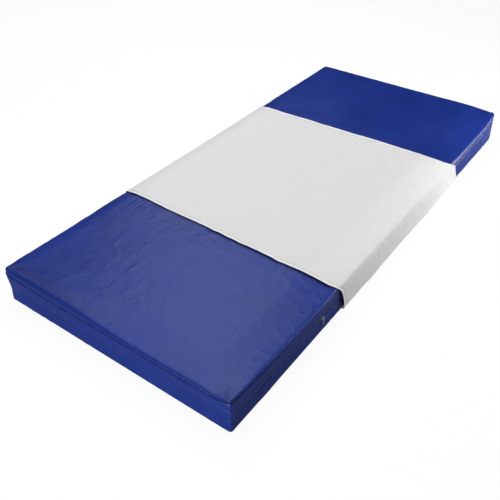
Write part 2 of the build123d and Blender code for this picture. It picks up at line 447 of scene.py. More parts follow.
def grainGroup():  # fine pebbled grain with a little dust in it
    inputs = {"Vector": None, "Grain Scale": 900.0}
    group, given, result = newGroup("surfaceGrain", inputs, ["Height", "Patch"])
    pebble = addNode(group, "ShaderNodeTexVoronoi", feature="SMOOTH_F1")
    feed(group, pebble, {"Vector": given["Vector"], "Scale": given["Grain Scale"]})
    patch = addNode(group, "ShaderNodeTexNoise", {"Vector": given["Vector"], "Scale": 4.5, "Detail": 5.0})
    feed(group, result, {"Height": pebble.outputs["Distance"], "Patch": patch.outputs[0]})
    return group


def weaveGroup():  # plain weave from a flat cloth map in metres
    inputs = {"Vector": None, "Thread Pitch": 0.0007}
    group, given, result = newGroup("plainWeave", inputs, ["Height", "Slub"])
    split = addNode(group, "ShaderNodeSeparateXYZ", {0: given["Vector"]})
    turn = mathNode(group, "DIVIDE", math.pi, given["Thread Pitch"])
    threads = [mathNode(group, "SINE", mathNode(group, "MULTIPLY", split.outputs[k], turn)) for k in (0, 1)]
    over = mathNode(group, "MULTIPLY", *threads)
    stretch = addNode(group, "ShaderNodeMapping", {"Vector": given["Vector"], "Scale": (1.0, 9.0, 1.0)})
    slub = addNode(group, "ShaderNodeTexNoise", {"Vector": stretch.outputs[0], "Scale": 60.0, "Detail": 4.0})
    feed(group, result, {"Height": mathNode(group, "MULTIPLY_ADD", over, 0.5), "Slub": slub.outputs[0]})
    return group


coatCrease, surfaceGrain, plainWeave = coatCreaseGroup(), grainGroup(), weaveGroup()


def newMaterial(name):
    material = bpy.data.materials.new(name)
    material.use_nodes = True
    tree = material.node_tree
    return material, tree, tree.nodes["Principled BSDF"]


def placeGroup(tree, group, source, **values):
    inputs = {key.replace("_", " "): value for key, value in values.items()}
    return addNode(tree, "ShaderNodeGroup", {"Vector": source, **inputs}, node_tree=group).outputs


def objectPlace(tree):
    return tree.nodes.new("ShaderNodeTexCoord").outputs["Object"]


def paintedValue(tree, name):  # the value that paintPiece keeps on a piece
    return addNode(tree, "ShaderNodeAttribute", attribute_name=name).outputs["Fac"]


def mixed(tree, share, first, second):
    mix = addNode(tree, "ShaderNodeMix", data_type="RGBA")
    feed(tree, mix, {"Factor": share, "A": first, "B": (*second, 1.0)})
    return mix.outputs["Result"]


def rampNode(tree, source, stops):
    node = addNode(tree, "ShaderNodeValToRGB", {0: source})
    ramp = node.color_ramp
    while len(ramp.elements) < len(stops):
        ramp.elements.new(0.5)
    for element, (place, colour) in zip(ramp.elements, stops):
        element.position = place
        element.color = (*colour, 1.0)
    return node.outputs[0]


def bumpChain(tree, shader, heights):  # heights are (socket, distance in metres)
    above = {}
    for socket, distance in heights:
        inputs = {"Height": socket, "Distance": distance, "Strength": 1.0, **above}
        bump = addNode(tree, "ShaderNodeBump", inputs)
        above = {"Normal": bump.outputs[0]}
    feed(tree, shader, above)


coat = {
    "deep": (0.0085, 0.031, 0.235),
    "middle": (0.0102, 0.036, 0.282),
    "pale": (0.013, 0.042, 0.305),
    # colour of painted shade, toward which the base colour is mixed
    "paintedShade": (0.0022, 0.010, 0.080),
    "roughLow": 0.31,
    "roughHigh": 0.45,
    "creaseShare": 0.75,
    "grainScale": 850.0,
    "grainDepth": 0.00010,
    "foldDepth": 0.0040,
    "foldScale": (75, 9, 20),
    "foldTurn": -10,
}


def coatedCloth(name, depth, crumpleScale, creaseScale, paintedShadeScale, gloss, folded=False):
    material, tree, shader = newMaterial(name)
    place = objectPlace(tree)
    crease = placeGroup(
        tree, coatCrease, place,
        Crumple_Scale=crumpleScale, Crease_Scale=creaseScale, Crease_Share=coat["creaseShare"],
    )["Height"]
    grain = placeGroup(tree, surfaceGrain, place, Grain_Scale=coat["grainScale"])
    tones = [tuple(c * paintedShadeScale for c in coat[key]) for key in ("deep", "middle", "pale")]
    tone = rampNode(tree, grain["Patch"], list(zip((0.30, 0.52, 0.75), tones)))
    roughSpan = coat["roughHigh"] - coat["roughLow"]
    feed(tree, shader, {
        # painted shade: the base colour darkens toward that colour by the piece's painted-shade value
        "Base Color": mixed(tree, paintedValue(tree, "paintedShade"), tone, coat["paintedShade"]),
        "Roughness": mathNode(tree, "MULTIPLY_ADD", grain["Patch"], roughSpan, coat["roughLow"]),
        "IOR": 1.5,
        "Specular IOR Level": gloss,
    })
    heights = [(grain["Height"], coat["grainDepth"])]
    if folded:  # the piece's own values say where the cloth is slack, and where short folds leave the hems
        turn = (0, 0, math.radians(coat["foldTurn"]))
        turned = addNode(
            tree, "ShaderNodeMapping", {"Vector": place, "Rotation": turn, "Scale": coat["foldScale"]}
        )
        folds = addNode(
            tree, "ShaderNodeTexNoise", {"Vector": turned.outputs[0], "Scale": 1.0, "Detail": 1.0}
        )
        asked = mathNode(tree, "MULTIPLY", folds.outputs[0], paintedValue(tree, "folds"))
        crease = mathNode(tree, "MULTIPLY", crease, paintedValue(tree, "slack"))
        heights = [(asked, coat["foldDepth"]), (crease, depth), *heights]
    else:
        heights = [(crease, depth), *heights]
    bumpChain(tree, shader, heights)
    return material


cotton = {
    "rough": 0.9,
    "gloss": 0.2,
    "sheen": 0.15,
    "foldEdge": (0.0065, 0.0035),    # where the painted highlight on a hem's fold begins and is full, in from the sheet's edge
    "foldHighlight": (0.97, 0.97, 0.97),
    "rippleFrom": (0.33, 0.45),      # across the sheet, where its long edges are pulled down
    "rippleLeast": 0.12,
    "rippleScale": (15, 36, 1),
    "rippleTurn": 16,
    "rippleDepth": 0.0036,
    "softScale": 22.0,
    "softDepth": 0.0014,
}


def pulledRipples(tree, flat):
    across = addNode(tree, "ShaderNodeSeparateXYZ", {0: flat}).outputs[0]
    pulled = addNode(tree, "ShaderNodeMapRange", clamp=True, interpolation_type="SMOOTHSTEP")
    start, full = cotton["rippleFrom"]
    least = cotton["rippleLeast"]
    feed(tree, pulled, {"Value": across, "From Min": start, "From Max": full, "To Min": least})
    turn = (0, 0, math.radians(cotton["rippleTurn"]))
    drawn = addNode(
        tree, "ShaderNodeMapping", {"Vector": flat, "Rotation": turn, "Scale": cotton["rippleScale"]}
    )
    ripple = addNode(tree, "ShaderNodeTexNoise", {"Vector": drawn.outputs[0], "Scale": 1.0, "Detail": 2.5})
    soft = addNode(tree, "ShaderNodeTexNoise", {"Vector": flat, "Scale": cotton["softScale"], "Detail": 2.0})
    height = mathNode(tree, "MULTIPLY", ripple.outputs[0], pulled.outputs[0])
    return [(soft.outputs[0], cotton["softDepth"]), (height, cotton["rippleDepth"])]


def wovenCloth(name, tone, pitch, depth, rough=cotton["rough"], hemHighlight=False, creased=False):
    material, tree, shader = newMaterial(name)
    flat = addNode(tree, "ShaderNodeUVMap", uv_map="cloth").outputs[0]
    weave = placeGroup(tree, plainWeave, flat, Thread_Pitch=pitch)
    paler = tuple(min(1.0, c * 1.04) for c in tone)
    darker = tuple(c * 0.95 for c in tone)
    tint = rampNode(tree, weave["Slub"], [(0.30, darker), (0.70, paler)])
    if hemHighlight:  # painted highlight: the folded edge of a hem is lighter
        split = addNode(tree, "ShaderNodeSeparateXYZ", {0: flat})
        start, full = (sheetHalf - back for back in cotton["foldEdge"])
        fold = addNode(tree, "ShaderNodeMapRange", clamp=True)
        far = mathNode(tree, "ABSOLUTE", split.outputs[1])
        feed(tree, fold, {"Value": far, "From Min": start, "From Max": full})
        tint = mixed(tree, fold.outputs[0], tint, cotton["foldHighlight"])
    feed(tree, shader, {
        "Base Color": tint,
        "Roughness": rough,
        "Specular IOR Level": cotton["gloss"],
        "Sheen Weight": cotton["sheen"],
    })
    heights = pulledRipples(tree, flat) if creased else []
    bumpChain(tree, shader, heights + [(weave["Height"], depth), (weave["Slub"], depth * 2)])
    return material


def grainedMaterial(name, stops, rough, scale, depth):  # plastic, thread and foam
    material, tree, shader = newMaterial(name)
    grain = placeGroup(tree, surfaceGrain, objectPlace(tree), Grain_Scale=scale)
    tone = rampNode(tree, grain["Patch"], list(zip((0.3, 0.7), stops)))
    feed(tree, shader, {"Base Color": tone, "Roughness": rough})
    bumpChain(tree, shader, [(grain["Height"], depth)])
    return material


def mouldedPlastic(name, tone, rough):
    return grainedMaterial(name, (tone, tuple(c * 1.3 for c in tone)), rough, 2500.0, 0.00003)


def foamBlock(name, tone):
    return grainedMaterial(name, (tuple(c * 0.9 for c in tone), tone), 0.95, 1200.0, 0.0004)


def platedMetal(name):
    material, tree, shader = newMaterial(name)
    place = objectPlace(tree)
    grain = placeGroup(tree, surfaceGrain, place, Grain_Scale=1800.0)
    scuff = addNode(tree, "ShaderNodeTexNoise", {"Vector": place, "Scale": 700.0, "Detail": 6.0}).outputs[0]
    feed(tree, shader, {
        "Base Color": rampNode(tree, scuff, [(0.35, (0.62, 0.61, 0.58)), (0.6, (0.86, 0.85, 0.82))]),
        "Roughness": rampNode(tree, scuff, [(0.35, (0.42,) * 3), (0.65, (0.20,) * 3)]),
        "Metallic": 1.0,
    })
    bumpChain(tree, shader, [(grain["Height"], 0.00002)])
    return material


# The borders and base get a darker copy of the top's coated cloth, the piping a slightly darker one: painted
# shade on the sides and in the seam
coverCloth = coatedCloth("coverCloth", 0.0020, 22.0, 60.0, paintedShadeScale=1.0, gloss=0.40, folded=True)
borderCloth = coatedCloth("borderCloth", 0.0012, 30.0, 80.0, paintedShadeScale=0.85, gloss=0.35)
pipingCloth = coatedCloth("pipingCloth", 0.0003, 60.0, 150.0, paintedShadeScale=0.9, gloss=0.2)
sheetCotton = wovenCloth("sheetCotton", (0.875, 0.875, 0.88), 0.0006, 0.00008, creased=True)
# The hems: a lighter copy of the sheet's cotton, a painted highlight along the sheet's edges
hemCottonHighlit = wovenCloth("hemCottonHighlit", (0.93, 0.93, 0.935), 0.0006, 0.00008, hemHighlight=True)
tapeCloth = wovenCloth("zipTapeCloth", (0.008, 0.026, 0.15), 0.0005, 0.00008, rough=0.8)
teethPlastic = mouldedPlastic("zipTeethPlastic", (0.007, 0.024, 0.14), 0.35)
blueThread = mouldedPlastic("blueThread", (0.012, 0.038, 0.22), 0.55)
whiteThread = mouldedPlastic("whiteThread", (0.78, 0.78, 0.78), 0.6)
nickel = platedMetal("nickelPlate")
softFoam = foamBlock("softFoam", (0.86, 0.82, 0.66))
firmFoam = foamBlock("firmFoam", (0.70, 0.74, 0.80))
print("materials made")

# Draw sheet: where its hems run and how it hangs. Triples are depth, size of the bumps and seed.
sheet = {
    "spacing": 0.009,
    "thickness": 0.0008,
    "clear": 0.0007,
    "fold": 0.004,                   # radius at the bottom edge of the mattress
    "line": (-0.466, 0.418),         # where the near and the far hem cross the middle
    "slant": (-0.009, 0.010),
    "skewRight": (0.068, 0.128),     # how far each leans as it goes down a side
    "skewLeft": (0.012, -0.012),
    "leanFrom": (0.41, 0.17),
    "wander": 0.0030,
    "wanderSize": ((0.085, 0.03), (0.11, 0.04)),
    "wanderSeed": (21, 23),
    "edgeDraw": 0.9,                 # how far the hem is drawn in where the top falls away
    "hemRoll": 0.0014,               # extra height at the very edge of the hem
    "edge": 0.45,                    # where the long edge is, on the flat cloth
    "edgeBlend": 0.05,
    "ripple": (0.0016, 0.026, 31),
    "ripplePatch": (0.12, 36),
    "broad": (0.0009, 0.14, 35),
    "mottle": (0.0008, 0.045, 37),
    "mottleFrom": (-0.1, 0.3),
    "sideRipple": (0.0016, 0.045, 33),
    "belly": 0.0055,
    "bellyFrom": (0.46, 0.06),
    "bellyEnd": (0.55, 0.25),
    "tuckFrom": 0.56,                # beyond this the cloth lies under the mattress
    "tuckEnd": (0.61, 0.04),
}
# Painted shade: how far it reaches from a hem, and how dark and how high it is at the seam rims
shade = {"hem": 0.0058, "borderRim": 0.5, "rimHeight": 0.003, "panelRim": 0.55, "panelRimHeight": 0.004}


def hemLines(across):  # where the near and far hems run, by the flat distance from the middle line
    flat = np.zeros_like(across)
    away, right = np.abs(across), across > 0
    topShare = np.clip(across / 0.43, -1, 1)
    lean = risen(away, *sheet["leanFrom"])
    here = spread(across, flat, flat)
    inward = np.maximum(halfWidth - away, 0)
    drawn = sheet["edgeDraw"] * lie["fallSheet"] * slope(inward, lie["fallWidth"]) * right
    lines = []
    for k in (0, 1):
        line = sheet["line"][k] + sheet["slant"][k] * topShare + drawn
        skewRight = sheet["skewRight"][k] - lie["fallSheet"] * sheet["edgeDraw"]
        line += lean * np.where(right, skewRight, sheet["skewLeft"][k])
        seed, (slow, quick) = sheet["wanderSeed"][k], sheet["wanderSize"][k]
        sway = waves(here, slow, seed) + 0.5 * waves(here, quick, seed + 1)
        line += sheet["wander"] * sway * (1 - 0.6 * lean)
        lines.append(line)
    return lines


def hemGap(x, y):  # how far a place is outside the nearer hem of the sheet
    near, far = hemLines(x)
    return np.maximum(np.maximum(near - y, y - far), 0)


def hemShade(plain):  # 1 where shade is painted in the crevice along a hem, from points of the plain block
    x, y, z = plain.T
    across = np.sign(x) * (np.abs(x) + np.maximum(coverTop - z, 0))
    return np.exp(-(hemGap(across, y) / shade["hem"]) ** 2)


def paintPiece(piece, name, amount):  # keeps a value on each point for the piece's material
    layer = piece.data.attributes.new(name, "FLOAT", "POINT")
    layer.data.foreach_set("value", np.ascontiguousarray(amount, dtype=np.float32))


# Foam core: two layers that follow the lie of the mattress
foam = {
    "spacing": 0.02,
    "rollSteps": 6,
    "lowerRoll": 0.003,
    "upperRoll": 0.008,
    "press": (0.0022, 0.01),         # how far the cover presses its sides in, and how deep that is felt
    "cornerPress": (0.0035, 0.07),
    "topFrom": (0.095, 0.015),
    "bottomFrom": (0.005, 0.01),
}


def foamPress(points):  # the cover presses the foam in a little, most at the corners
    x, y, z = points.T
    edgeX, edgeY = edgeGaps(x, y)
    (press, reach), (corner, cornerSize) = foam["press"], foam["cornerPress"]
    atSide = np.exp(-np.maximum(np.minimum(edgeX, edgeY) - reach, 0) / reach)
    pressed = press + corner * np.exp(-np.hypot(edgeX, edgeY) / cornerSize)
    return -pressed * np.maximum(atSide, risen(z, *foam["topFrom"])) * risen(z, *foam["bottomFrom"])


def foamLayer(name, low, high, roll, material, node):
    half = (high.x, high.y)
    plan = cornerRadius - (halfWidth - high.x)
    middle = (high.z + low.z) / 2
    stops = evenStops(half[0] - plan, foam["spacing"]), evenStops(half[1] - plan, foam["spacing"])
    upper, rows, cols, _ = trayGrid(half, plan, roll, high.z, middle, *stops, foam["rollSteps"])
    lower, _, _, _ = trayGrid(half, plan, foam["lowerRoll"], 0, low.z - middle, *stops, foam["rollSteps"])
    lower[:, 2] = low.z - lower[:, 2]
    points = settle(np.concatenate([upper, lower]))
    first = rimIndices(rows, cols)
    second = [len(upper) + k for k in first]
    faces = gridFaces(rows, cols, flip=True) + gridFaces(rows, cols, first=len(upper))
    faces += joinRims(first, second)
    piece = meshPiece(name, points, faces, None, material)
    outwardNormals(piece)
    pushOut(piece, foamPress)
    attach(piece, "mattress")
    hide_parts(node)


foamLayer("foamComfortLayer", comfortLow, comfortHigh, foam["upperRoll"], softFoam, "foam_comfort_layer")
foamLayer("foamBaseLayer", firmLow, firmHigh, foam["lowerRoll"], firmFoam, "foam_base_layer")
print("foam made")

# Top panel of the cover. Triples are depth, size of the bumps and seed.
panel = {
    "fine": 0.0055,
    "finest": 0.0030,
    "coarse": 0.020,
    "hemZone": (0.055, 0.045),       # the finest part, from under the hem to clear of it
    "rollSteps": 7,
    "thickness": 0.001,
    "drift": (0.02, 0.08, 61),       # how far the crumples are bent out of line
    "crumple": (0.0004, 0.070, 41),
    "crease": (0.0002, 0.030, 42),
    "hemFold": (0.0006, 0.018, 43),
    "hemFoldReach": 0.05,
    "hemFoldPatch": (0.11, 45),
    "hemDent": (0.0012, 0.009),
    "pucker": (0.0006, 0.015, 44),
    "puckerReach": 0.016,
    "cornerFold": (0.0014, 0.028, 46),
    "cornerFoldReach": (0.08, 0.02),
    "cornerFoldStretch": 0.12,
    "pinch": (0.0015, 0.0045),       # a fold running in from the far right corner, and half its width
    "pinchAim": (0.37, 0.93),
    "pinchAside": 0.008,
    "pinchFrom": 0.015,
    "pinchEnd": (0.115, 0.06),
    "underSheet": 0.15,
    "underSheetBlend": 0.012,
}
panelShade = {
    "rollLeft": (0.50, 0.055),       # the painted shade band on the soft roll along the near end, and its width
    "rollRight": 0.85,               # how much of it is gone on the right
    "rollFrom": (-0.20, 0.30),
    # painted shade on the steep part of the rolled edge at the near end
    "rolled": (0.50, 0.0005, 0.006),
    "slackFrom": (-0.42, 0.35),
    "slackLeast": 0.15,
    "slackFar": 0.2,
    "slackPatch": (0.16, 47),
    "foldPatch": (0.13, 45),
    "foldReach": 0.07,
}


def ridges(points, size, seed):  # sharp crests between soft hollows, from -1 to 1
    return 1 - 2 * np.abs(waves(points, size, seed))


def panelRelief(points):
    x, y, z = points.T
    flat = np.zeros_like(x)

    # Crumples all over, and folds that run out from the hems
    reach, size, seed = panel["drift"]
    warped = points + reach * spread(waves(points, size, seed), waves(points, size, seed + 1), flat)
    total = np.zeros_like(x)
    for depth, size, seed in (panel["crumple"], panel["crease"]):
        total += depth * ridges(warped, size, seed)
    gap = hemGap(x, y)
    patches = eased(0.5 + waves(points, *panel["hemFoldPatch"]))
    depth, size, seed = panel["hemFold"]
    fold = spread(x + 0.3 * gap, gap * 0.2, flat)
    total += depth * ridges(fold, size, seed) * np.exp(-gap / panel["hemFoldReach"]) * patches

    # Puckers along the edges and folds at the corners
    edgeX, edgeY = np.abs(halfWidth - np.abs(x)), np.abs(halfLength - np.abs(y))
    edge, away = np.minimum(edgeX, edgeY), np.hypot(edgeX, edgeY)
    depth, size, seed = panel["pucker"]
    fold = spread(np.where(edgeX < edgeY, y, x), edge * 0.3, flat)
    total += depth * waves(fold, size, seed) * np.exp(-edge / panel["puckerReach"])
    depth, size, seed = panel["cornerFold"]
    reach, start = panel["cornerFoldReach"]
    stretch = panel["cornerFoldStretch"]
    fold = spread(np.arctan2(edgeY, edgeX) * stretch, away * stretch, np.sign(x) + 2 * np.sign(y))
    total += depth * ridges(fold, size, seed) * np.exp(-away / reach) * eased(away / start)

    # The dent along the hems, and the pinch at the far right corner
    depth, size = panel["hemDent"]
    total -= depth * np.exp(-(gap / size) ** 2)
    aimX, aimY = panel["pinchAim"]
    tipX, tipY = halfWidth - x, halfLength - y
    inward, aside = aimX * tipX + aimY * tipY, aimY * tipX - aimX * tipY - panel["pinchAside"]
    depth, size = panel["pinch"]
    pinch = depth * np.exp(-(aside / size) ** 2) * eased(inward / panel["pinchFrom"])
    total += pinch * faded(inward, *panel["pinchEnd"])
    return total * (1 - (1 - panel["underSheet"]) * underSheet(y, panel["underSheetBlend"]))


panelPoints, panelRows, panelCols, panelFlat = trayGrid(
    (halfWidth, halfLength), cornerRadius, cornerRadius - 0.001, coverTop, coverLow.z,
    evenStops(halfWidth - cornerRadius, panel["fine"]),
    openStops(halfLength - cornerRadius), panel["rollSteps"],
)
panelFaces = gridFaces(panelRows, panelCols)
topPanel = meshPiece("coverTopPanel", settle(panelPoints), panelFaces, panelFlat, coverCloth)
outwardNormals(topPanel)
if topPanel.data.polygons[len(topPanel.data.polygons) // 2].normal.z < 0:
    topPanel.data.flip_normals()
pushOut(topPanel, panelRelief)
across, along, height = panelPoints.T
nearEnd = np.maximum(halfLength + along, 0)
# Painted shade: in the crevice along the hems, in the seam at the panel's rim, as a soft band on the near
# end's roll and on its steep rolled edge
rimShade = shade["panelRim"] * faded(height, coverLow.z + shade["panelRimHeight"], shade["panelRimHeight"])
amount, size = panelShade["rollLeft"]
rollShade = amount * np.exp(-((nearEnd / size) ** 2))
rollShade *= 1 - panelShade["rollRight"] * risen(across, *panelShade["rollFrom"])
amount, start, size = panelShade["rolled"]
rolled = amount * faded(height, coverTop - start, size) * (nearEnd < cornerRadius)
paintPiece(topPanel, "paintedShade", np.maximum.reduce([hemShade(panelPoints), rimShade, rollShade, rolled]))
slack = 0.55 + 0.45 * waves(panelPoints, *panelShade["slackPatch"])
slack *= risen(across, *panelShade["slackFrom"])
slack = panelShade["slackLeast"] + (1 - panelShade["slackLeast"]) * slack
paintPiece(topPanel, "slack", slack * np.where(along < 0, 1.0, panelShade["slackFar"]))
patches = eased(0.45 + 1.1 * waves(panelPoints, *panelShade["foldPatch"]))
byHem = np.exp(-hemGap(across, along) / panelShade["foldReach"]) * (along < 0)
paintPiece(topPanel, "folds", patches * byHem)
panelWall = topPanel.modifiers.new("wall", "SOLIDIFY")
panelWall.thickness = panel["thickness"]
panelWall.offset = -1
plainMesh(topPanel)
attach(topPanel, "mattress")
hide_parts("cover_top_panel")
print("top panel made")

# Side borders, flap, zip tapes and piping
side = {
    "spacing": 0.0045,
    "rows": 10,
    "seed": 11,
    "pucker": (0.0005, 0.011, 0.023),
    "wander": (0.0011, 0.16, 0.06),
    "underSheet": 0.02,
    "trackX": 0.40,                  # the stretch that the slider runs along stays smooth
    "trackStart": (-0.99, 0.03),
    "trackEnd": (-0.475, 0.03),
    "trackRoom": (0.012, 0.010),
}
columns = outline(side["spacing"])


def sliderTrack(points):  # 1 on the stretch that the slider runs along
    x, y, z = points.T
    room, soft = side["trackRoom"]
    along = risen(y, *side["trackStart"]) * faded(y, *side["trackEnd"])
    level = faded(z, sliderHigh.z + room, soft) * risen(z, sliderLow.z - room, soft)
    return along * level * (x > side["trackX"])


def sideRelief(distance, level, points):
    seed = side["seed"]
    flat = np.zeros_like(level)
    here, tight = spread(distance, level * 0.4, flat), spread(distance, level * 0.15, flat)
    depth, small, large = side["pucker"]
    pull = depth * waves(tight, small, seed) + depth * waves(tight, large, seed + 1)
    depth, large, small = side["wander"]
    slow = depth * waves(here, large, seed + 2) + depth * 0.5 * waves(here, small, seed + 3)
    shown = 1 - 0.9 * underSheet(points[:, 1], side["underSheet"]) * (np.abs(points[:, 0]) > side["trackX"])
    return (slow + pull) * (1 - sliderTrack(points)) * shown


def faceProfile(inset, thickness, low, high, rows):
    heights = np.linspace(low, high, rows)
    return [(inset, h) for h in heights] + [(inset + thickness, h) for h in heights[::-1]]


def dress(piece, node):
    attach(piece, "mattress")
    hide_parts(node)
    return piece


wallThickness = upperHigh.x - upperLow.x
panelNames = {"right": [0], "head": [1, 2, 3], "left": [4], "foot": [5, 6, 7]}
for level, (low, high) in {"upper": (upperLow.z, upperHigh.z), "lower": (lowerLow.z, lowerHigh.z)}.items():
    for sideName, parts in panelNames.items():
        chosen = np.flatnonzero(np.isin(columns["part"], parts))
        following = (chosen[-1] + 1) % len(columns["part"])
        chosen = np.append(chosen, following)
        stretch = takeColumns(columns, chosen)
        if following == 0:
            stretch["distance"] = stretch["distance"].copy()
            stretch["distance"][-1] = stretch["distance"][-2] + side["spacing"]
        profile = faceProfile(0, wallThickness, low, high, side["rows"])
        name = f"{level}Border{sideName.title()}"
        border = bandPiece(name, profile, stretch, False, sideRelief, borderCloth)
        outwardNormals(border)
        dress(border, f"{level}_border_{sideName}")

flap = {
    "thickness": 0.0006,
    "rows": 8,
    "drop": 0.017,                   # how much lower it hangs, away from the slider's stretch
    "pressed": 0.75,                 # and how much of its thickness it is pressed in there
    "clearX": (0.40, 0.04),
    "clearEnds": (0.012, 0.05),
    "clearFar": (0.25, 0.1),
    "seamBelow": 0.003,
    "seamEnds": 0.03,
}


def flapHang(points):
    x, y, z = points.T
    gap, soft = flap["clearEnds"]
    clear = risen(x, *flap["clearX"]) * faded(np.abs(y), halfLength - gap, soft) * faded(y, *flap["clearFar"])
    share = np.clip((flapHigh.z - z) / (flapHigh.z - flapLow.z), 0, 1)
    points[:, 2] -= flap["drop"] * (1 - clear) * share
    pressed = flap["thickness"] * flap["pressed"] * (1 - clear)
    points[:, 0] -= np.sign(x) * pressed * (np.abs(x) > halfWidth - cornerRadius)
    points[:, 1] -= np.sign(y) * pressed * (np.abs(y) > halfLength - cornerRadius)
    return points


flapProfile = faceProfile(-flap["thickness"], flap["thickness"] * 0.97, flapLow.z, flapHigh.z, flap["rows"])
flapBand = bandPiece("zipFlap", flapProfile, columns, True, sideRelief, borderCloth)
flapAt = np.empty(3 * len(flapBand.data.vertices))
flapBand.data.vertices.foreach_get("co", flapAt)
flapBand.data.vertices.foreach_set("co", flapHang(flapAt.reshape(-1, 3)).ravel())
outwardNormals(flapBand)
dress(flapBand, "zip_flap")

for level in ("upper", "lower"):
    tapeLow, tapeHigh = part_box(f"zip_{level}_tape")
    tapeProfile = faceProfile(halfWidth - tapeHigh.x, 0.0005, tapeLow.z, tapeHigh.z, 4)
    tape = bandPiece(f"zip{level.title()}Tape", tapeProfile, columns, True, sideRelief, tapeCloth)
    outwardNormals(tape)
    dress(tape, f"zip_{level}_tape")

piping = {
    "sides": 12,
    "groove": 0.75,                  # how much painted shade it gets in its groove
    "openX": (0.40, 0.03),           # where it stands clear of the groove, beyond the sheet
    "openY": (0.45, 0.05),
    "nearEnd": (0.02, 0.01),
    "nearEndShare": 0.5,
}
pipingRadius = (pipingHigh.z - pipingLow.z) / 2
pipingInset = halfWidth - (pipingHigh.x - pipingRadius)
cord = []
for i in range(piping["sides"]):
    turn = 2 * math.pi * i / piping["sides"]
    cord.append((pipingInset - pipingRadius * math.cos(turn), seamHeight + pipingRadius * math.sin(turn)))
pipingCord = bandPiece("topSeamPiping", cord, columns, True, sideRelief, pipingCloth)
x, y, _ = np.array([v.co for v in pipingCord.data.vertices]).T
# Painted shade along the piping's groove, less where it stands clear beyond the sheet and at the near end
grooveShade = piping["groove"] * (1 - risen(x, *piping["openX"]) * risen(y, *piping["openY"]))
back, soft = piping["nearEnd"]
grooveShade *= 1 - piping["nearEndShare"] * faded(y, -halfLength + back, soft)
pipingCord.data.attributes["paintedShade"].data.foreach_set("value", grooveShade.astype(np.float32))
outwardNormals(pipingCord)
dress(pipingCord, "top_seam_piping")
print("borders, flap, tapes and piping made")

# Base panel, lifted over the sheet's tucked flaps
base = {"spacing": 0.02, "roll": 0.002, "rollSteps": 6, "thickness": 0.0006, "lift": 0.0016, "liftFrom": 0.01}
basePoints, baseRows, baseCols, baseFlat = trayGrid(
    (halfWidth, halfLength), cornerRadius, base["roll"], 0.0, baseLow.z - baseHigh.z,
    evenStops(halfWidth - cornerRadius, base["spacing"]),
    evenStops(halfLength - cornerRadius, base["spacing"]),
    base["rollSteps"],
)
basePoints[:, 2] = baseLow.z - basePoints[:, 2]
inTuck = risen(np.abs(basePoints[:, 0]), endHemLow.x - base["liftFrom"], base["liftFrom"])
basePoints[:, 2] += base["lift"] * inTuck * underSheet(basePoints[:, 1] - 0.06, 0.14)
baseFaces = gridFaces(baseRows, baseCols)
basePanel = meshPiece("coverBasePanel", settle(basePoints), baseFaces, baseFlat, borderCloth)
outwardNormals(basePanel)
baseWall = basePanel.modifiers.new("wall", "SOLIDIFY")
baseWall.thickness = base["thickness"]
baseWall.offset = -1
plainMesh(basePanel)
dress(basePanel, "cover_base_panel")


# Draw sheet, as a wrap laid out from its flat cloth map
def wrapSection(across, lift):  # x and z of the sheet's section, for a flat distance from the middle
    half = sheetHigh.x - sheet["thickness"] + lift
    top = sheetHigh.z - sheet["thickness"] + lift
    roll = cornerRadius - 0.0006 + lift
    fold = sheet["fold"] + lift
    away = np.abs(across)
    flatPart = half - roll
    rollPart = roll * math.pi / 2
    wallPart = top - roll - fold - sheet["thickness"] + lift
    foldPart = fold * math.pi / 2
    turn = np.clip((away - flatPart) / roll, 0, math.pi / 2)
    down = np.clip(away - flatPart - rollPart, 0, wallPart)
    lowTurn = np.clip((away - flatPart - rollPart - wallPart) / fold, 0, math.pi / 2)
    under = np.maximum(away - flatPart - rollPart - wallPart - foldPart, 0)
    x = np.minimum(away, flatPart) + roll * np.sin(turn) - fold * (1 - np.cos(lowTurn)) - under
    z = top - roll * (1 - np.cos(turn)) - down - fold * np.sin(lowTurn)
    return np.sign(across) * x, z


def sheetPoints(across, along, lift):
    x, z = wrapSection(across, lift)
    flat = np.zeros_like(across)
    right, away = across > 0, np.abs(across)
    near, far = hemLines(across)
    y = near + (far - near) * (along / (2 * sheetHalf) + 0.5)
    points = settle(spread(x, y, z))
    here = spread(across, y, flat)
    edge = np.abs(away - sheet["edge"])
    onTop = faded(away, sheet["edge"], sheet["edgeBlend"])

    # Ripples across the long edges, and soft bumps on the top
    depth, size, seed = sheet["ripple"]
    ripple = depth * (1 + waves(spread(y, edge * 0.25, flat), size, seed)) * np.exp(-edge / 0.06)
    ripple *= np.where(right, 1.0, 0.5) * eased(0.55 + waves(here, *sheet["ripplePatch"]))
    depth, size, seed = sheet["broad"]
    broad = depth * (1 + waves(here, size, seed)) * onTop
    depth, size, seed = sheet["mottle"]
    broad += depth * (1 + waves(here, size, seed)) * risen(across, *sheet["mottleFrom"]) * onTop

    # How the sides hang, and the roll along the hems
    depth, size, seed = sheet["sideRipple"]
    hang = depth * (1 + waves(spread(y - 0.3 * z, z * 0.3, flat), size, seed))
    hang *= risen(away, sheet["edge"], 0.04)
    belly = sheet["belly"] * risen(away, *sheet["bellyFrom"]) * np.where(right, 1.0, 0.4)
    hang += belly * faded(y, *sheet["bellyEnd"])
    rim = sheet["hemRoll"] * risen(np.abs(along), sheetHalf - 0.007, 0.006)
    onSide = away >= sheet["edge"]
    points[:, 2] += np.where(away < sheet["tuckFrom"], ripple + broad, 0) + rim * ~onSide
    points[:, 0] += np.sign(across) * (hang + rim * onSide) * faded(away, *sheet["tuckEnd"])
    return points


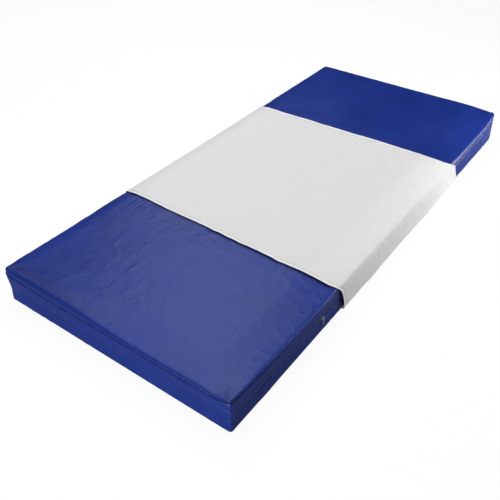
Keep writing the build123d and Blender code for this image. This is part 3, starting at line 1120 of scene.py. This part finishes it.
def clothStrip(name, acrossStops, alongStops, thickness, material):  # a closed strip of the wrap
    u, v = np.meshgrid(acrossStops, alongStops, indexing="ij")
    u, v = u.ravel(), v.ravel()
    rows, cols = len(acrossStops), len(alongStops)
    count = len(u)
    inner = sheet["clear"]
    points = np.concatenate([sheetPoints(u, v, inner), sheetPoints(u, v, inner + thickness)])
    rim = rimIndices(rows, cols)
    faces = gridFaces(rows, cols) + gridFaces(rows, cols, first=count, flip=True)
    faces += joinRims(rim, [count + k for k in rim])
    piece = meshPiece(name, points, faces, spread(np.tile(u, 2), np.tile(v, 2)), material)
    outwardNormals(piece)
    return piece


flatHalf = flatSheet[1] / 2
hemThickness = nearHemHigh.z - sheetHigh.z + sheet["thickness"]
acrossCount = round(2 * flatHalf / sheet["spacing"]) + 1
acrossStops = np.linspace(-flatHalf + hemWidth, flatHalf - hemWidth, acrossCount)
alongCount = round(2 * sheetHalf / sheet["spacing"]) + 1
alongStops = np.linspace(-sheetHalf + hemWidth, sheetHalf - hemWidth, alongCount)
drawSheet = clothStrip("drawSheet", acrossStops, alongStops, sheet["thickness"], sheetCotton)
dress(drawSheet, "draw_sheet")
hemStops = hemWidth * np.array([0, 0.15, 0.30, 0.6, 1.0])  # closer at the hem's outer edge
for name, stops in (("Near", hemStops - sheetHalf), ("Far", sheetHalf - hemStops[::-1])):
    hem = clothStrip(f"sheet{name}Hem", acrossStops, stops, hemThickness, hemCottonHighlit)
    dress(hem, f"sheet_{name.lower()}_hem")
for name, direction in (("Right", 1), ("Left", -1)):
    ends = sorted((direction * (flatHalf - hemWidth), direction * flatHalf))
    stops = np.linspace(-sheetHalf, sheetHalf, len(alongStops))
    hem = clothStrip(f"sheet{name}EndHem", np.linspace(*ends, 4), stops, hemThickness, hemCottonHighlit)
    dress(hem, f"sheet_{name.lower()}_end_hem")
print("draw sheet made")


# Stitches and zip teeth follow a path, made by Geometry Nodes
stitch = {"Pitch": 0.0042, "Length": 0.0031, "Depth": 0.0004, "Height": 0.0004}
hemStitch = {"Pitch": 0.0036, "Length": 0.0027, "Depth": 0.0005, "Height": 0.0005}
tooth = {"Pitch": 0.0026, "Length": 0.0016, "Depth": 0.0024, "Height": 0.0026}


def pathTree(name, sizes, seedKind, **seedSizes):
    tree = bpy.data.node_groups.new(name, "GeometryNodeTree")
    sockets = {}
    tree.interface.new_socket("Path", in_out="INPUT", socket_type="NodeSocketGeometry")
    for label, value in sizes.items():
        socket = tree.interface.new_socket(label, in_out="INPUT", socket_type="NodeSocketFloat")
        socket.default_value = value
        sockets[label] = socket.identifier
    socket = tree.interface.new_socket("Finish", in_out="INPUT", socket_type="NodeSocketMaterial")
    sockets["Finish"] = socket.identifier
    tree.interface.new_socket("Pieces", in_out="OUTPUT", socket_type="NodeSocketGeometry")
    given, result = tree.nodes.new("NodeGroupInput").outputs, tree.nodes.new("NodeGroupOutput")
    curve = addNode(tree, "GeometryNodeMeshToCurve", {"Mesh": given["Path"]}).outputs[0]
    stops = addNode(tree, "GeometryNodeCurveToPoints", mode="LENGTH")
    feed(tree, stops, {"Curve": curve, "Length": given["Pitch"]})
    aim = addNode(tree, "FunctionNodeAlignRotationToVector", {"Vector": stops.outputs["Tangent"]}, axis="X")
    size = addNode(
        tree, "ShaderNodeCombineXYZ", {"X": given["Length"], "Y": given["Depth"], "Z": given["Height"]}
    ).outputs[0]
    seed = addNode(tree, seedKind, seedSizes).outputs["Mesh"]
    scaled = addNode(tree, "GeometryNodeTransform", {"Geometry": seed, "Scale": size}).outputs[0]
    copies = addNode(
        tree, "GeometryNodeInstanceOnPoints",
        {"Points": stops.outputs["Points"], "Instance": scaled, "Rotation": aim.outputs[0]},
    ).outputs[0]
    real = addNode(tree, "GeometryNodeRealizeInstances", {0: copies}).outputs[0]
    inputs = {"Geometry": real, "Material": given["Finish"]}
    finish = addNode(tree, "GeometryNodeSetMaterial", inputs).outputs[0]
    feed(tree, result, {0: finish})
    return tree, sockets


stitchRun = pathTree("stitchRun", stitch, "GeometryNodeMeshUVSphere", Segments=6, Rings=4, Radius=0.5)
teethRow = pathTree("teethRow", tooth, "GeometryNodeMeshCube")


def alongPath(name, points, closed, tree, sizes, finish):
    mesh = bpy.data.meshes.new(name)
    edges = [(i, i + 1) for i in range(len(points) - 1)]
    if closed:
        edges.append((len(points) - 1, 0))
    mesh.from_pydata([tuple(p) for p in points], edges, [])
    piece = bpy.data.objects.new(name, mesh)
    bpy.context.scene.collection.objects.link(piece)
    modifier = piece.modifiers.new("pieces", "NODES")
    modifier.node_group = tree[0]
    for label, value in sizes.items():
        modifier[tree[1][label]] = value
    modifier[tree[1]["Finish"]] = finish
    return plainMesh(piece)


def sidePath(inset, height):  # a line round the sides at that height
    plan = columns["centre"] + columns["normal"] * (cornerRadius - inset)
    level = np.full(len(plan), height)
    points = settle(np.column_stack([plan, level]))
    lift = sideRelief(columns["distance"], level, points)
    points[:, :2] += columns["normal"] * lift[:, None]
    return points


def sew(name, points, finish, sizes):
    piece = alongPath(name, points, False, stitchRun, sizes, finish)
    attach(piece, "mattress")
    return piece


flapSeam = sidePath(-flap["thickness"], flapHigh.z - flap["seamBelow"])
onRight = (flapSeam[:, 0] > halfWidth - 0.004) & (np.abs(flapSeam[:, 1]) < halfLength - flap["seamEnds"])
flapSeam = flapSeam[onRight]
sew("flapTopStitches", flapSeam[np.argsort(flapSeam[:, 1])], blueThread, stitch)
for name, direction in (("near", -1), ("far", 1)):
    u = np.linspace(-0.6, 0.6, 400)
    start = direction * (sheetHalf - hemWidth * 0.8)
    line = sheetPoints(u, np.full_like(u, start), sheet["clear"] + hemThickness)
    sew(f"{name}HemStitches", line, whiteThread, hemStitch)

for level in ("upper", "lower"):
    teethLow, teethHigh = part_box(f"zip_{level}_teeth")
    path = sidePath(halfWidth - teethHigh.x + tooth["Depth"] / 2 + 0.0001, (teethLow.z + teethHigh.z) / 2)
    sizes = {"Depth": tooth["Depth"], "Height": teethHigh.z - teethLow.z}
    teeth = alongPath(f"zip{level.title()}Teeth", path, True, teethRow, sizes, teethPlastic)
    dress(teeth, f"zip_{level}_teeth")
print("stitches and teeth made")

# Slider, pull and end stops keep their CAD shape
for node in ("zip_slider_body", "zip_pull_tab", "zip_end_stops"):
    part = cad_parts[node]
    for holder in part.material_slots:
        holder.material = nickel

# Floor, lights and camera
stage = {"reach": 9.0, "level": -0.0017, "lit": 1.03, "diffuse": 0.12, "bounce": (0.30, 0.30, 0.31, 1)}
floorMesh = bpy.data.meshes.new("floor")
reach = stage["reach"]
corners = [(-reach, -reach), (reach, -reach), (reach, reach), (-reach, reach)]
floorMesh.from_pydata([(*corner, stage["level"]) for corner in corners], [], [(0, 1, 2, 3)])
floor = bpy.data.objects.new("floor", floorMesh)
bpy.context.scene.collection.objects.link(floor)
paleFloor, floorTree, floorShader = newMaterial("paleFloor")
matt = {"Base Color": (0.95, 0.95, 0.95, 1), "Roughness": 0.9, "Specular IOR Level": 0.1}
feed(floorTree, floorShader, matt)
white = addNode(floorTree, "ShaderNodeEmission", {"Strength": stage["lit"]}).outputs[0]
litFloor = addNode(
    floorTree, "ShaderNodeMixShader", {0: stage["diffuse"], 1: white, 2: floorShader.outputs[0]}
)
dimFloor = addNode(floorTree, "ShaderNodeBsdfDiffuse", {"Color": stage["bounce"]})
seen = floorTree.nodes.new("ShaderNodeLightPath").outputs["Is Camera Ray"]
either = addNode(floorTree, "ShaderNodeMixShader", {0: seen, 1: dimFloor.outputs[0], 2: litFloor.outputs[0]})
feed(floorTree, floorTree.nodes["Material Output"], {"Surface": either.outputs[0]})
floorMesh.materials.append(paleFloor)

lights = {  # place, aim, size, power and spread
    "overhead": ((-0.5, -0.1, 3.6), (-0.2, -0.1, 0), (4.7, 4.7), 135, 180),
    "backLeft": ((-1.8, 1.7, 2.6), (-0.1, -0.5, 0.1), (1.6, 1.6), 12, 180),
    "farRight": ((1.7, 1.8, 0.27), (0.45, 0.70, 0.06), (0.8, 0.30), 18, 120),
    "front": ((0.6, -4.0, 0.48), (-0.1, -1.0, 0.08), (2.4, 0.7), 88, 180),
}
for name, (place, target, size, power, openAngle) in lights.items():
    data = bpy.data.lights.new(name, "AREA")
    data.shape = "RECTANGLE"
    data.size, data.size_y = size
    data.energy = power
    data.spread = math.radians(openAngle)
    lamp = bpy.data.objects.new(name, data)
    bpy.context.scene.collection.objects.link(lamp)
    lamp.location = place
    lamp.rotation_euler = (Vector(target) - Vector(place)).to_track_quat("-Z", "Y").to_euler()

world = bpy.data.worlds.new("studio")
bpy.context.scene.world = world
world.use_nodes = True
world.node_tree.nodes["Background"].inputs["Color"].default_value = (1, 1, 1, 1)
world.node_tree.nodes["Background"].inputs["Strength"].default_value = 0.01
bpy.context.scene.view_settings.view_transform = "Standard"

view = {"place": (1.078, -1.804, 1.432), "azimuth": 35.44, "elevation": 38.45, "roll": 0.34, "lens": 45.86}
lensData = bpy.data.cameras.new("camera")
lensData.lens = view["lens"]
lensData.sensor_width = 36
lensData.clip_end = 60
camera = bpy.data.objects.new("camera", lensData)
bpy.context.scene.collection.objects.link(camera)
turn = Euler((math.radians(90 - view["elevation"]), 0, math.radians(view["azimuth"]))).to_matrix()
turn = turn @ Matrix.Rotation(math.radians(view["roll"]), 3, "Z")
camera.matrix_world = Matrix.Translation(view["place"]) @ turn.to_4x4()
bpy.context.scene.camera = camera
print("floor, lights and camera made")
